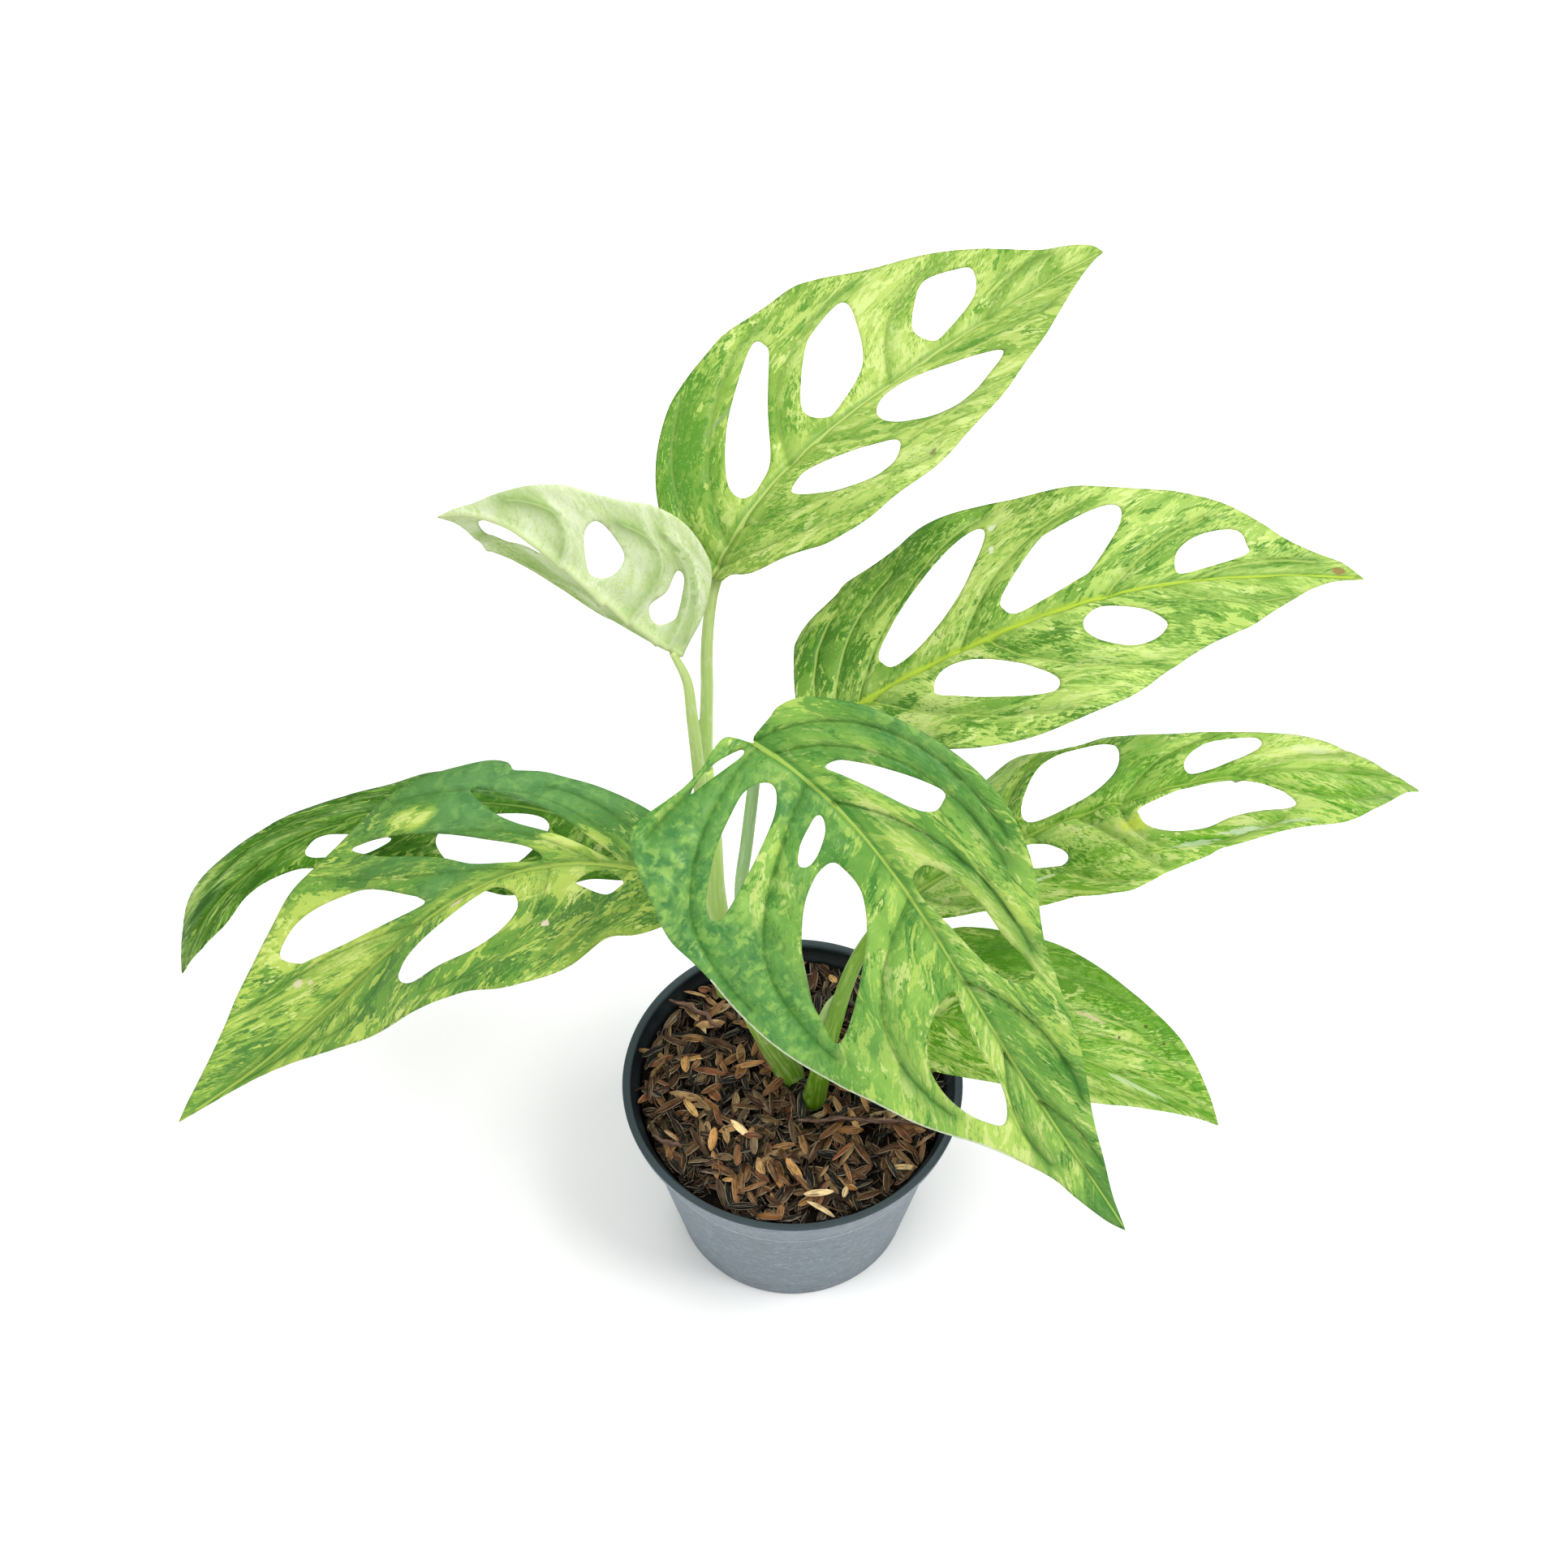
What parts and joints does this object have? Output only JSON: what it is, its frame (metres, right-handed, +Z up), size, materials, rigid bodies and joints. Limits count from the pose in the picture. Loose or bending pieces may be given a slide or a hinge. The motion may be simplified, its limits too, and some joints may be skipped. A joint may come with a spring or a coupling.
{
  "type": "potted variegated swiss cheese vine",
  "caption": "Potted swiss cheese vine: holed, yellow-mottled heart-shaped leaves on slim stalks rising from a husk-covered mix in a round nursery pot.",
  "frame": {"origin": "middle of the pot's foot, on the surface that the pot stands on", "axes": "+Z up out of the pot, -Y towards the viewer of the picture, +X to that viewer's right"},
  "size_m": [0.4186, 0.2471, 0.3269],
  "materials": {
    "pot_plastic": "charcoal, dusty and faintly scuffed",
    "potting_mix": "damp rice husks, bark chips and dark humus",
    "stem": "smooth green",
    "petiole": "smooth pale green",
    "leaf_variegated": "satin green mottled with yellow along the side veins",
    "leaf_new": "satin, whitish pale green"
  },
  "bodies": {
    "root": {"pot": "pot_plastic", "potting_mix": "potting_mix", "stem": "stem", "petiole_1": "petiole", "petiole_2": "petiole", "petiole_3": "petiole", "petiole_4": "petiole", "petiole_5": "petiole", "petiole_6": "petiole", "petiole_7": "petiole", "petiole_8": "petiole", "leaf_1": "leaf_variegated", "leaf_2": "leaf_new", "leaf_3": "leaf_variegated", "leaf_4": "leaf_variegated", "leaf_5": "leaf_variegated", "leaf_6": "leaf_variegated", "leaf_7": "leaf_variegated", "leaf_8": "leaf_variegated"}
  },
  "joints": []
}
